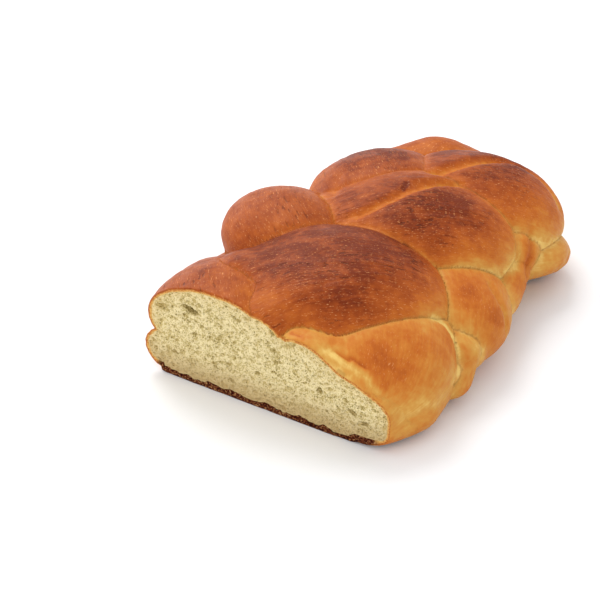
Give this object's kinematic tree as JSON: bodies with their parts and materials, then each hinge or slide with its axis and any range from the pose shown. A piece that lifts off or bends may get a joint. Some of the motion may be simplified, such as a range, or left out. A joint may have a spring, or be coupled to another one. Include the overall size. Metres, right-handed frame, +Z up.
{
  "type": "braided loaf",
  "caption": "Braided loaf of white bread, glossy brown on top, flat underneath, with its near end sliced off to show the crumb.",
  "frame": {"origin": "on the surface it rests on, under the middle of the loaf's box", "axes": "+Z up; +Y along the loaf, from the knife cut to the closed, tapered end; +X to the right when looking at the cut face"},
  "size_m": [0.1546, 0.2336, 0.0601],
  "materials": {
    "crust": "egg-washed bread crust, semi-gloss, red-brown on top and golden at the sides",
    "crumb": "soft pale yellow crumb, matte, with fine open pores",
    "underside": "dark, rough, dry crust where the loaf lay on the tray"
  },
  "bodies": {
    "root": {"loaf": "crust"}
  },
  "joints": []
}
